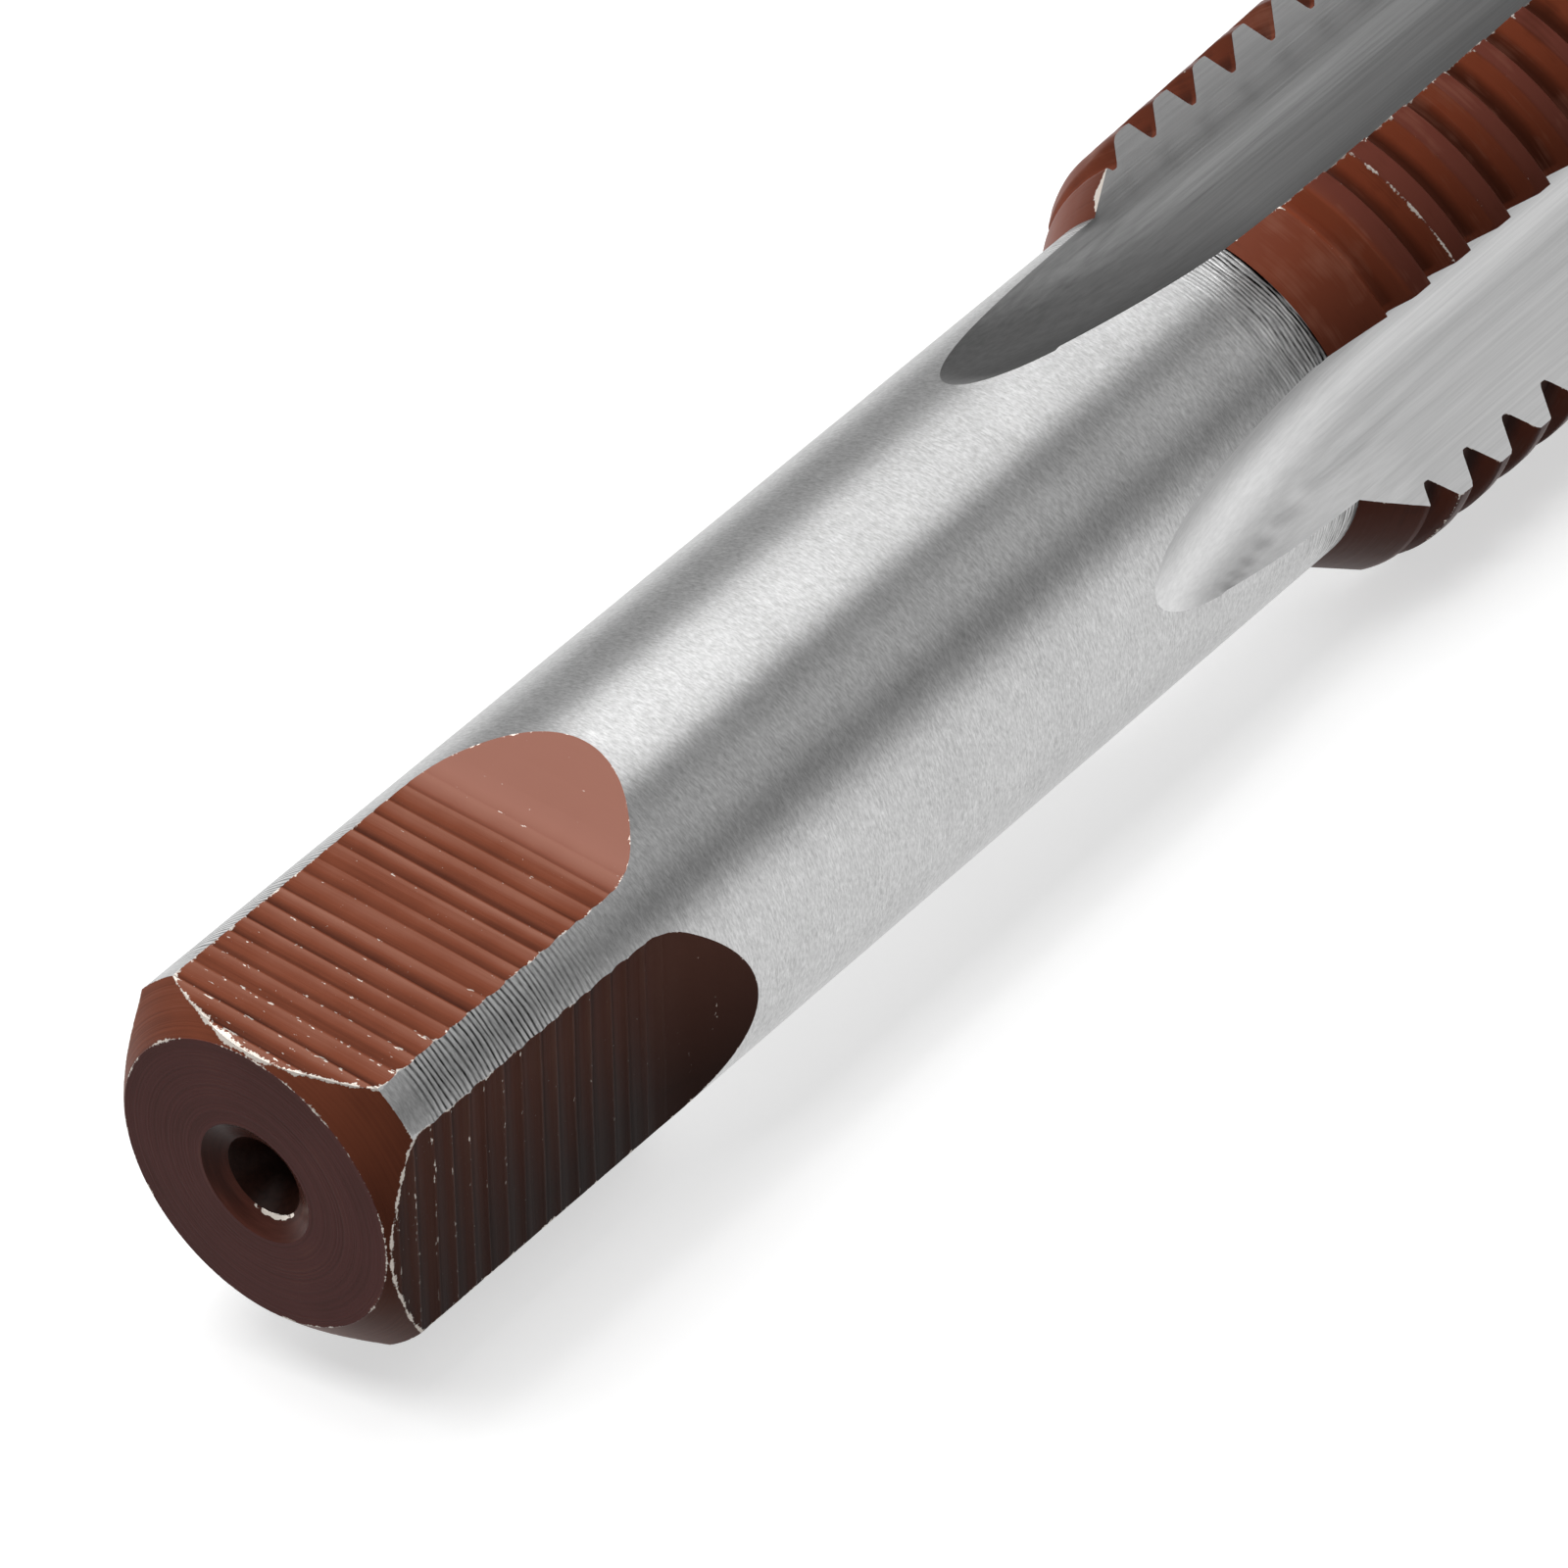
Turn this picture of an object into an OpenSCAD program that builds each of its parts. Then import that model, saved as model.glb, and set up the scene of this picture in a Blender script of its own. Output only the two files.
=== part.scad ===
// Hand tap for a metric thread: one bar of tool steel with a driving square, a plain shank,
// four straight flutes and a right-hand thread with a tapered lead.
// It lies as it rests on a table: the axis is level along X, the drive end at the low X.

/* [Overall] */
// Length from the drive end to the tip
overall_length = 80; // [74:1:110]
// Diameter of the plain shank
shank_d = 12.5; // [12:0.1:13]
// Turn of the square from the flutes, in degrees
square_turn = 12; // [0:1:45]

/* [Driving square] */
// Width across the flats
square_width = 10; // [9:0.1:10.4]
// Length of the flats before they run out
square_length = 11.4; // [9:0.1:14]
// Slope of the run-out of each flat, in degrees
square_runout_angle = 25; // [15:0.1:45]
// Radius where a flat turns up into its run-out
square_runout_radius = 3.5; // [1:0.1:6]
// Diameter of the round end face
end_face_d = 9.7; // [8:0.1:11]
// Length of the chamfer round the drive end
end_chamfer_length = 1.17; // [0.5:0.01:2]

/* [Centre holes] */
// Diameter of the pilot
pilot_d = 1.25; // [1:0.05:2]
// Depth of the pilot from the end face
pilot_depth = 3; // [2:0.1:5]
// Large diameter of the 60 degree seat
seat_d = 2.65; // [2.2:0.05:4]
// Large diameter of the protecting countersink
countersink_d = 4; // [3:0.1:5]

/* [Thread] */
// Outside diameter of the thread
thread_d = 16; // [15.5:0.1:16.5]
// Distance from one thread to the next
pitch = 2; // [1.75:0.05:2.25]
// Depth of the thread grooves
groove_depth = 1; // [0.8:0.05:1.2]
// Width of the flat at the bottom of a groove
groove_root = 0.25; // [0.15:0.01:0.35]
// Place along the axis where the shoulder leaves the shank
shoulder_start = 43.8; // [41:0.1:45]
// Slope of the shoulder, in degrees
shoulder_angle = 31; // [25:1:45]
// Diameter of the first thread crests, behind the shoulder
back_d = 15.4; // [15:0.1:16]
// Length over which the crests rise to the full diameter
back_length = 9; // [5:0.5:12]
// Length of the lead at the tip
lead_length = 8; // [4:0.5:12]
// Diameter of the tip
tip_d = 13.4; // [13:0.1:15]

/* [Flutes] */
// Number of flutes
flutes = 4; // [4:1:4]
// Width of a land, in degrees
land_width = 34.4; // [30:0.1:38]
// Radius of the rounded flute bottom
flute_floor_r = 2.65; // [2.63:0.01:2.8]
// Distance from the axis to the centre of the rounded bottom
flute_floor_centre = 6.5; // [6.4:0.05:6.5]
// Turn from the middle of the rounded bottom to the rake face, in degrees
rake_turn = 23.6; // [23:0.1:23.8]
// Lean of the heel side away from the middle of the flute, in degrees
heel_lean = 49.7; // [49:0.1:51]
// Radius of the disc cutter that leaves the run-out
flute_cutter_r = 45; // [35:1:55]
// Place along the axis where the flutes reach their full depth
flute_full_depth = 48.4; // [46:0.1:50]

/* [Hidden] */
$fn = 96;
shank_r = shank_d / 2;
thread_r = thread_d / 2;
back_r = back_d / 2;
root_r = thread_r - groove_depth;
flat_distance = square_width / 2;
square_runout_parts = 4;
lead_start = overall_length - lead_length;
// A flute's pattern repeats at this angle.
flute_step = 360 / flutes;
// The first land points half a step up from the table, so the tap rests on two of them.
first_land = flute_step / 2;
rest_height = thread_r * sin(first_land + land_width / 2);
// The shoulder is a cone from the shank up to the first crests, which rise gently from there.
shoulder_end = shoulder_start + (back_r - shank_r) / tan(shoulder_angle);
crest_full = shoulder_end + back_length;
// The groove follows this helix: its bottom crosses angle zero here, and each land has its own share of a pitch.
helix_zero = shoulder_start + 1.35;
helix_angle = atan(pitch / (PI * (thread_r + root_r)));
groove_count = ceil((overall_length - shoulder_end) / pitch) + 1;
groove_flank = tan(30);
// A little more than a cut needs, so that faces never coincide.
spare = 1;
// The heel side passes through the land's other crest edge.
heel_turn = flute_step - land_width - rake_turn;
heel_point = 0.975 * thread_r * [cos(heel_turn), sin(heel_turn)];
heel_direction = [cos(heel_lean), sin(heel_lean)];
floor_centre = [flute_floor_centre, 0];
heel_foot = heel_point + ((floor_centre - heel_point) * heel_direction) * heel_direction;
rake_direction = [cos(rake_turn), -sin(rake_turn)];
rake_foot = (floor_centre * rake_direction) * rake_direction;
// The flute form is left open this far outside the thread.
flute_open = thread_r + 2.5;
cutter_axis = flute_floor_centre - flute_floor_r + flute_cutter_r;

// Turns a shape made along +Z, with its angles from +X, so that its axis lies along the tap.
module along_axis() {
    rotate([90, 0, 90])
        children();
}

// Outline of the turned bar, radius against distance from the drive end.
module bar_outline() {
    polygon([
        [0, 0],
        [end_face_d / 2, 0],
        [shank_r, end_chamfer_length],
        [shank_r, shoulder_start],
        [back_r, shoulder_end],
        [thread_r, crest_full],
        [thread_r, lead_start],
        [tip_d / 2, overall_length],
        [0, overall_length]
    ]);
}

module bar() {
    rotate_extrude()
        bar_outline();
}

// What is cut away over one flat of the square, seen from the side: the flat, a round turn, a straight slope.
module flat_cut_outline() {
    turn = [for (part = [0:square_runout_parts]) square_runout_angle * part / square_runout_parts];
    turn_centre = [flat_distance + square_runout_radius, square_length];
    slope_start = turn_centre + square_runout_radius * [-cos(square_runout_angle), sin(square_runout_angle)];
    slope_rise = shank_r + spare - slope_start.x;
    polygon(concat(
        [[shank_r + spare, -spare], [flat_distance, -spare]],
        [for (a = turn) turn_centre + square_runout_radius * [-cos(a), sin(a)]],
        [slope_start + slope_rise * [1, 1 / tan(square_runout_angle)]]
    ));
}

module square_flats() {
    for (side = [0:3])
        rotate([0, 0, square_turn + 90 * side])
            rotate([90, 0, 0])
                linear_extrude(2 * shank_d, center = true)
                    flat_cut_outline();
}

// Centre hole with a pilot, a 60 degree seat and a 120 degree countersink that protects the seat.
module centre_hole() {
    countersink_depth = (countersink_d - seat_d) / 2 * tan(30);
    seat_depth = countersink_depth + (seat_d - pilot_d) / 2 / tan(30);
    // The drill's point, with the flat that its chisel edge leaves.
    chisel_r = pilot_d / 8;
    pilot_tip = pilot_depth + (pilot_d / 2 - chisel_r) * tan(31);
    rotate_extrude()
        polygon([
            [0, -spare],
            [countersink_d / 2 + spare / tan(30), -spare],
            [seat_d / 2, countersink_depth],
            [pilot_d / 2, seat_depth],
            [pilot_d / 2, pilot_depth],
            [chisel_r, pilot_tip],
            [0, pilot_tip]
        ]);
}

// Section of one flute. X points out from the axis through the middle of the rounded bottom.
// The rake face lies in a plane through the axis, and the heel side leans outwards.
module flute_section() {
    translate(floor_centre)
        circle(r = flute_floor_r);
    polygon([
        rake_foot,
        flute_open * rake_direction,
        [flute_open + spare, 0],
        heel_point + (flute_open - thread_r) * heel_direction,
        heel_foot,
        floor_centre
    ]);
}

// Where the disc cutter leaves the bar, its own round form stays behind as the run-out.
module flute_runout() {
    translate([cutter_axis, 0, flute_full_depth])
        rotate([-90, 0, 0])
            rotate_extrude(angle = 25, start = 155)
                translate([cutter_axis, 0])
                    mirror([1, 0])
                        flute_section();
}

module flute_straight() {
    translate([0, 0, flute_full_depth])
        linear_extrude(overall_length - flute_full_depth + spare)
            flute_section();
}

module each_flute() {
    for (number = [0:flutes - 1])
        rotate([0, 0, first_land + land_width / 2 + rake_turn + flute_step * number])
            children();
}

// The grooves between the threads of one land, as a row of truncated 60 degree forms.
module groove_comb() {
    outer = thread_r + spare;
    half_root = groove_root / 2;
    half_mouth = half_root + (outer - root_r) * groove_flank;
    for (turn = [0:groove_count])
        translate([0, pitch * turn])
            polygon([
                [root_r, -half_root],
                [outer, -half_mouth],
                [outer, half_mouth],
                [root_r, half_root]
            ]);
}

// Each land's grooves lean by the helix angle and start their own share of a pitch further on.
module land_grooves(land) {
    middle = first_land + flute_step * land;
    reach = land_width / 2 + 6;
    translate([0, 0, helix_zero + pitch * middle / 360])
        rotate([0, 0, middle])
            rotate([helix_angle, 0, 0])
                rotate([0, 0, -reach])
                    rotate_extrude(angle = 2 * reach)
                        groove_comb();
}

module tap_solid() {
    difference() {
        bar();
        square_flats();
        centre_hole();
        translate([0, 0, overall_length])
            mirror([0, 0, 1])
                centre_hole();
        each_flute()
            flute_straight();
        each_flute()
            flute_runout();
        for (land = [0:flutes - 1])
            land_grooves(land);
    }
}

module tap() {
    color("silver")
        translate([-overall_length / 2, 0, rest_height])
            along_axis()
                tap_solid();
}

tap();
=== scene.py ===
"""The looks of a hand tap: brown oxide on the square, the drive end and the thread, ground steel between.

One mesh stands for the solid. It is a skin of rows and columns laid round the tap's axis: each row is a
section of the tap, each column runs from the drive end to the tip, and every real edge lies on one of them.
Lengths are in millimetres until the mesh is written, and angles in degrees from +Y towards +Z."""
import math

import bpy
import numpy as np
from mathutils import Matrix, Vector


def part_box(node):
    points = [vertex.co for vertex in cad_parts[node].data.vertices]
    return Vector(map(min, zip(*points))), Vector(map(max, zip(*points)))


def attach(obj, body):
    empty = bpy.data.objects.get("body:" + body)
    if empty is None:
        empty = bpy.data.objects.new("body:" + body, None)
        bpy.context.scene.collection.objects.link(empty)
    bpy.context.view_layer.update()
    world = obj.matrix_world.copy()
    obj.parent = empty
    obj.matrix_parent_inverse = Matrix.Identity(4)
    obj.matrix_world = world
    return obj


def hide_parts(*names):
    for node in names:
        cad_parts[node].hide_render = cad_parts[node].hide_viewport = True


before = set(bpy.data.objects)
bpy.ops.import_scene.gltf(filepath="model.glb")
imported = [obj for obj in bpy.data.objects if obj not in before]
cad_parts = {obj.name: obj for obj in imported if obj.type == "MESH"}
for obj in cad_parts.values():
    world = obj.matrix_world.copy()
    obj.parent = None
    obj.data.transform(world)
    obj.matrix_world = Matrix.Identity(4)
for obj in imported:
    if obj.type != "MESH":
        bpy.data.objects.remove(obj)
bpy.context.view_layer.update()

MM = 0.001
LOW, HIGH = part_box("tap")
LENGTH = (HIGH.x - LOW.x) / MM

QUARTER = 90.0
FULL_TURN = 4 * QUARTER

# Driving square
SHANK_R = 6.25
SQUARE_TURN = 12.0
FLAT_DISTANCE = 5.0
SQUARE_LENGTH = 11.4
RUNOUT_SLOPE = math.radians(25)
RUNOUT_RADIUS = 3.5
END_FACE_R = 4.85
CHAMFER_LENGTH = 1.17
CHAMFER_RISE = (SHANK_R - END_FACE_R) / CHAMFER_LENGTH
CHAMFER_SLANT = math.hypot(1, CHAMFER_RISE)

# Milled ridges across the flats: their spacing drifts a little, as (amount, waves a millimetre, start)
RIDGE_SPACING = 0.775
RIDGE_START = 0.355
RIDGE_DRIFT = ((0.06, 0.27, 0.0), (0.05, 0.68, 1.0))
RIDGE_DEPTH = 0.04

# Centre holes
COUNTERSINK_R = 2.0
SEAT_R = 1.325
PILOT_R = 0.625
PILOT_DEPTH = 3.0
COUNTERSINK_DEPTH = (COUNTERSINK_R - SEAT_R) * math.tan(math.radians(30))
SEAT_DEPTH = COUNTERSINK_DEPTH + (SEAT_R - PILOT_R) / math.tan(math.radians(30))
PILOT_TIP = PILOT_DEPTH + PILOT_R * math.tan(math.radians(31))

# Thread
THREAD_R = 8.0
PITCH = 2.0
ROOT_R = 7.0
ROOT_HALF = 0.125
FLANK_RISE = math.tan(math.radians(60))
SHOULDER_START = 43.8
SHOULDER_RISE = math.tan(math.radians(31))
BACK_R = 7.7
SHOULDER_END = SHOULDER_START + (BACK_R - SHANK_R) / SHOULDER_RISE
CREST_FULL = SHOULDER_END + 9
LEAD_LENGTH = 8.0
TIP_R = 6.7
HELIX_ZERO = SHOULDER_START + 1.35
# How far each land stands out from the turned bar: at its cutting edge, and behind it
RELIEF = ((0.13, -0.05), (0.08, 0.05), (0.2, 0.24), (0.1, 0.1))
RELIEF_LENGTH = 12.0

# Rounding of the grooves' bottoms, as a rise at a distance, and of the crest edges
ROOT_RISE = 0.1
ROOT_REACH = 0.3
CREST_ROUNDING = 0.05

# Flutes
LAND_MIDDLE = 45.0
LAND_WIDTH = 34.4
LAND_START = LAND_MIDDLE - LAND_WIDTH / 2
RAKE_TURN = 23.6
FLUTE_MIDDLE = LAND_START + LAND_WIDTH + RAKE_TURN
FLOOR_R = 2.65
FLOOR_CENTRE = 6.5
HEEL_LEAN = 49.7
HEEL_TURN = QUARTER - LAND_WIDTH - RAKE_TURN
HEEL_POINT_R = 0.975 * THREAD_R
CUTTER_R = 45.0
FULL_DEPTH = 48.4
CUTTER_AXIS = FLOOR_CENTRE - FLOOR_R + CUTTER_R
RUNOUT_TIP = FULL_DEPTH - math.sqrt(CUTTER_R**2 - (CUTTER_AXIS - SHANK_R) ** 2)
AXIS_HEIGHT = THREAD_R * math.sin(math.radians(LAND_START + LAND_WIDTH))

# Wear and painted glints: how far from an edge they can reach, how much wear there is on most edges, where it
# is heavier, and where a glint is painted on the hole's rim and the first land's edge
EDGE_REACH = 0.3
WEAR_FADE = 0.3
LIGHT_WEAR = 0.08
BRIGHT_TEETH = {(1, 0): 0.5, (1, 1): 0.55, (1, 2): 0.9, (2, 1): 0.6}
SCRAPE_MIDDLE = -0.6
SCRAPE_HALF = 1.7
SCRAPE_WEAR = 1.3
# A glint painted on the lower rim of the hole's seat: its angle, half width and strength
HOLE_PAINTED_GLINT = 262.0
HOLE_PAINTED_GLINT_HALF = 45.0
HOLE_PAINTED_GLINT_LEVEL = 1.3
# A burr on the first land's cutting edge at the shoulder, worn bright and with a painted glint: its middle,
# half length and strength
NICK_GLINT_MIDDLE = 44.5
NICK_GLINT_HALF = 0.9
NICK_GLINT_WEAR = 4.0

# Steel: spacing of its combed lines, where they start and end, and spacing of the shoulder's rings
COMB_SPACING = 0.19
COMB_START = (2.9, 3.2)
COMB_END = (6.5, 10.5)
RING_SPACING = 0.15

# Colours: a painted shade, then oxide from the thickest to where it is rubbed thin, and bare metal. Several
# also carry painted light, shade or glints, as said at each.
# Near-black painted shade on the square's lower flats
PAINTED_SHADE_BLACK = (0.010, 0.004, 0.003, 1)
# Dark oxide, also the painted shade on the flats' ridges and lower flats and towards the lands' cutting edges
OXIDE_DARK_AND_SHADE = (0.075, 0.020, 0.011, 1)
OXIDE = (0.235, 0.066, 0.034, 1)
OXIDE_PURPLE = (0.185, 0.06, 0.053, 1)
# Lighter colour painted on the flats' run-outs as painted light
RUNOUT_PAINTED_LIGHT = (0.45, 0.20, 0.15, 1)
OXIDE_CONE = (0.235, 0.060, 0.031, 1)
# The flanks' oxide, painted lighter than the crests' as fill light from the drive end
OXIDE_FLANK_PAINTED_LIGHT = (0.29, 0.069, 0.032, 1)
OXIDE_CREST = (0.168, 0.046, 0.031, 1)
OXIDE_BORE = ((0.07, 0.020, 0.013, 1), (0.19, 0.060, 0.042, 1))
# The centre hole's inside: oxide painted near-black as the hole's shade
PILOT_OXIDE_AND_SHADE = ((0.008, 0.003, 0.002, 1), (0.05, 0.018, 0.012, 1))
# Thin oxide, also the painted highlight before each ridge and the painted light on the run-outs
OXIDE_THIN_AND_HIGHLIGHT = (0.36, 0.15, 0.10, 1)
# Bare metal, also the colour of the painted glints
BARE_AND_GLINT = (0.78, 0.71, 0.64, 1)

# Camera: the photograph's view, found by fitting the tap's own edges
LENS = 272.73
CAMERA_PLACE = (-217.21, -209.018, 199.5)
CAMERA_RIGHT = (0.62509, -0.76101, -0.17356)
CAMERA_DOWN = (-0.52715, -0.24760, -0.81290)
CAMERA_FORWARD = (0.57565, 0.59963, -0.55594)

# Soft boxes in metres: name, place, size, brightness, and whether the steel mirrors them
LAMPS = (
    ("softbox", (-0.05, 0.22, 0.6), (0.6, 0.42), 3.3, True),
    ("key", (-0.05, -0.04, 0.6), (0.6, 0.22), 3.2, True),
    ("back", (0.1, 0.55, 0.4), (0.6, 0.3), 2.0, False),
)

# Light, as brightness: what the steel mirrors above the floor, and what the room adds as light
ROOM_FRONT = 0.2
ROOM_FOOT = 0.7
ROOM_PANEL = 1.1
ROOM_BACK = 0.7
ROOM_CURTAIN = 0.12
ROOM_LIGHT = 0.12
# Directions between which the room's panel and curtain fade in
PANEL_X = (0.42, 0.58)
PANEL_Y = (-0.45, -0.25)
PANEL_Z = (0.3, 0.45)
FLOOR_HALF = 3.0
FLOOR_BOUNCE = 0.05
FLOOR_SEEN = {"Is Camera Ray": (0.6, 0.6), "Is Glossy Ray": (0.2, 0.85)}
STEEL_IN_STEEL = 0.45

# The mesh has four quarters of columns: some on a strip of the square, then the shank, then a land; the
# others on a flat of the square, then gathered on a seam of the shank, then in a flute.
LAND_COLUMNS = 18
FLUTE_COLUMNS = 24
FLUTE_RIM_COLUMNS = 2
FLUTE_RIM = 0.3
QUARTER_COLUMNS = LAND_COLUMNS + FLUTE_COLUMNS
COLUMNS = 4 * QUARTER_COLUMNS
FRONT_ROWS_END = 1.6
SQUARE_ROW_STEP = 0.12
# Rows of the thread: fewer past the photograph's edge, and leaning with the helix up to the tip
FINE_ROWS_END = 62.0
FIRST_THREAD_ROW = HELIX_ZERO - 0.8
LEAN_START = HELIX_ZERO - 0.75
LEAN_END = LENGTH - 2.6


def radial(angle):
    """Unit vector out from the axis, in the Y-Z plane."""
    return np.stack([np.cos(np.radians(angle)), np.sin(np.radians(angle))], -1)


def ramp(x, start, end):
    return np.clip((x - start) / (end - start), 0, 1)


def smooth_min(a, b, width):
    """The smaller of two heights, rounded where they cross."""
    gap = np.clip(0.5 + 0.5 * (b - a) / width, 0, 1)
    return b + (a - b) * gap - width * gap * (1 - gap)


def wobble(x, seed, scale, count=7):
    """A smooth irregular line of about unit height, whose ups and downs are about a scale long."""
    rng = np.random.default_rng(seed)
    total = np.zeros_like(np.asarray(x, float))
    for _ in range(count):
        wave = rng.uniform(0.5, 2.2) / scale
        total = total + rng.uniform(0.4, 1) * np.sin(math.tau * wave * x + rng.uniform(0, 6.3))
    return total / math.sqrt(count / 2)


def nearness(distance, strength):
    """How near a point is to a worn edge: 1 on the edge, 0 at EDGE_REACH, and less where wear is light."""
    return 1 - distance / EDGE_REACH - WEAR_FADE * (1 - strength)


def ridge_height(x, side):
    """Scallops that a milling cutter leaves across a flat, from 0 in a hollow to 1 on a ridge."""
    bent = x / RIDGE_SPACING + RIDGE_START
    for amount, wave, start in RIDGE_DRIFT:
        bent = bent + amount * np.sin(math.tau * wave * x + start)
    share = bent - np.floor(bent)
    hollow = 4 * share * (1 - share)
    depth = 0.75 + 0.25 * np.cos(2.4 * np.floor(bent) + side)
    calm = 1 - ramp(x, SQUARE_LENGTH - 0.5, SQUARE_LENGTH + 0.8)
    return 1 - calm * hollow * depth


def flat_height(x, side):
    """Distance of a flat of the square from the axis, with its round turn and its straight run-out."""
    turn_length = RUNOUT_RADIUS * math.sin(RUNOUT_SLOPE)
    over = np.maximum(x - SQUARE_LENGTH, 0)
    bend = np.minimum(over, turn_length)
    rise = RUNOUT_RADIUS - np.sqrt(RUNOUT_RADIUS**2 - bend**2)
    rise = rise + np.maximum(over - turn_length, 0) * math.tan(RUNOUT_SLOPE)
    return FLAT_DISTANCE + rise - RIDGE_DEPTH * (1 - ridge_height(x, side))


def flat_end():
    """Where the run-out of a flat leaves the shank."""
    turn_length = RUNOUT_RADIUS * math.sin(RUNOUT_SLOPE)
    turn_rise = RUNOUT_RADIUS * (1 - math.cos(RUNOUT_SLOPE))
    left = SHANK_R - FLAT_DISTANCE - turn_rise
    return SQUARE_LENGTH + turn_length + left / math.tan(RUNOUT_SLOPE)


def front_edge(turn, side):
    """Where the chamfer meets a flat, at this angle from the flat's middle."""
    x = np.zeros_like(turn)
    for _ in range(6):
        radius = flat_height(x, side) / np.cos(np.radians(turn))
        x = (radius - END_FACE_R) / CHAMFER_RISE
    return x


def bar_radius(x):
    """Radius of the turned bar before the flutes and the thread are cut."""
    cone = SHANK_R + np.maximum(x - SHOULDER_START, 0) * SHOULDER_RISE
    back = BACK_R + (THREAD_R - BACK_R) * ramp(x, SHOULDER_END, CREST_FULL)
    lead = THREAD_R - (THREAD_R - TIP_R) * ramp(x, LENGTH - LEAD_LENGTH, LENGTH)
    return np.minimum(np.minimum(cone, back), lead)


def groove_place(x, angle):
    """Distance along the axis from the nearest groove's bottom, and that groove's number on its land."""
    turns = (x - HELIX_ZERO - PITCH * angle / FULL_TURN) / PITCH
    number = np.maximum(np.round(turns), 0)
    return (turns - number) * PITCH, number


def crest_radius(x, angle):
    """Radius of the crests: each land stands out a little from the turned bar, as its edges were raised."""
    margin = 5
    behind = LAND_START + LAND_WIDTH + margin - angle
    land = np.mod(-np.floor(behind / QUARTER), 4).astype(int)
    edge, back = np.array(RELIEF)[land].T
    out = edge + (back - edge) * ramp(np.mod(behind, QUARTER), margin, margin + RELIEF_LENGTH)
    bar = bar_radius(x)
    return np.minimum(bar + out * ramp(bar, SHANK_R, BACK_R), np.maximum(bar, THREAD_R))


def land_radius(x, angle):
    """Radius of the threaded land: the crests, with the grooves cut along their helix."""
    off = np.abs(groove_place(x, angle)[0])
    flank = ROOT_R + np.maximum(off - ROOT_HALF, 0) * FLANK_RISE
    soft_root = ROOT_R + ROOT_RISE * (off / ROOT_REACH) ** 2
    return smooth_min(crest_radius(x, angle), np.maximum(flank, soft_root), CREST_ROUNDING)


class Flute:
    """The flute's section: a straight rake, a round bottom and a straight heel, measured along its length."""

    SIDE_LENGTH = 4.0
    SIDE_POINTS = 120
    FLOOR_POINTS = 121

    def __init__(self):
        rake_way = radial(-RAKE_TURN)
        heel_way = radial(HEEL_LEAN)
        heel_point = HEEL_POINT_R * radial(HEEL_TURN)
        centre = np.array([FLOOR_CENTRE, 0.0])
        rake_foot = rake_way * (centre @ rake_way)
        heel_foot = heel_point + heel_way * ((centre - heel_point) @ heel_way)
        start = math.atan2(*(rake_foot - centre)[::-1]) % math.tau
        end = math.atan2(*(heel_foot - centre)[::-1]) % math.tau
        arc = np.linspace(start, end, self.FLOOR_POINTS)
        floor = centre + FLOOR_R * np.stack([np.cos(arc), np.sin(arc)], -1)
        reach = np.linspace(self.SIDE_LENGTH, 0.02, self.SIDE_POINTS)[:, None]
        rake, heel = rake_foot + reach * rake_way, heel_foot + reach[::-1] * heel_way
        self.points = np.concatenate([rake, floor, heel])
        step = np.linalg.norm(np.diff(self.points, axis=0), axis=1)
        self.along = np.concatenate([[0], np.cumsum(step)])
        self.middle = int(np.argmin(np.linalg.norm(self.points, axis=1)))

    def section(self, x, along=None):
        """Points of the section at x, lifted out of the bar by the round cutter before its full depth."""
        out, aside = self.points[:, 0], self.points[:, 1]
        if along is not None:
            out, aside = np.interp(along, self.along, out), np.interp(along, self.along, aside)
        back = np.maximum(FULL_DEPTH - x, 0)
        out = CUTTER_AXIS - np.sqrt(np.maximum((CUTTER_AXIS - out) ** 2 - back**2, 0))
        return out, aside

    def edge(self, x, quarter, heel, inside=False):
        """Length along the section and angle at which its rake side or its heel side leaves the bar, or at
        which it passes a radius a little inside the shank's, where there is no thread."""
        out, aside = self.section(x)
        radius = np.hypot(out, aside)
        angle = FLUTE_MIDDLE + QUARTER * quarter + np.degrees(np.arctan2(aside, out))
        if radius[self.middle] >= SHANK_R:
            return self.along[self.middle], angle[self.middle]
        half = slice(self.middle, None) if heel else slice(self.middle, None, -1)
        target = SHANK_R
        if inside:
            target -= min(FLUTE_RIM, (SHANK_R - radius[self.middle]) / 2)
        for _ in range(3):
            along = np.interp(target, radius[half], self.along[half])
            found = np.interp(along, self.along, angle)
            if x > SHOULDER_START and not inside:
                past_the_start = FULL_TURN if quarter == 3 and heel else 0
                target = float(land_radius(x, found - past_the_start))
        return along, found


class Row:
    """One section of the skin. Each point knows how worn it is and how bright a painted glint on it is, and
    how high it stands on a ridge or a tooth.
    The zones are those of the faces that end here: on the strips or lands, and on the flats or flutes."""

    def __init__(self, zones):
        self.zones = zones
        self.points = np.zeros((COLUMNS + 1, 3))
        self.wear_and_glint = np.full(COLUMNS + 1, -1.0)
        self.ridge = np.ones(COLUMNS + 1)

    def fill(self, part, points, wear_and_glint=-1.0, ridge=1.0):
        first, last = part[2:]
        self.points[first:last + 1] = points
        self.wear_and_glint[first:last + 1] = np.maximum(self.wear_and_glint[first:last + 1], wear_and_glint)
        self.ridge[first:last + 1] = ridge


def parts():
    """The eight runs of columns as (quarter, 0 for land or 1 for flute, first column, last column)."""
    for quarter in range(4):
        first = quarter * QUARTER_COLUMNS
        yield quarter, 0, first, first + LAND_COLUMNS
        yield quarter, 1, first + LAND_COLUMNS, first + QUARTER_COLUMNS


def shares(part):
    return np.linspace(0, 1, part[3] - part[2] + 1)


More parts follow.
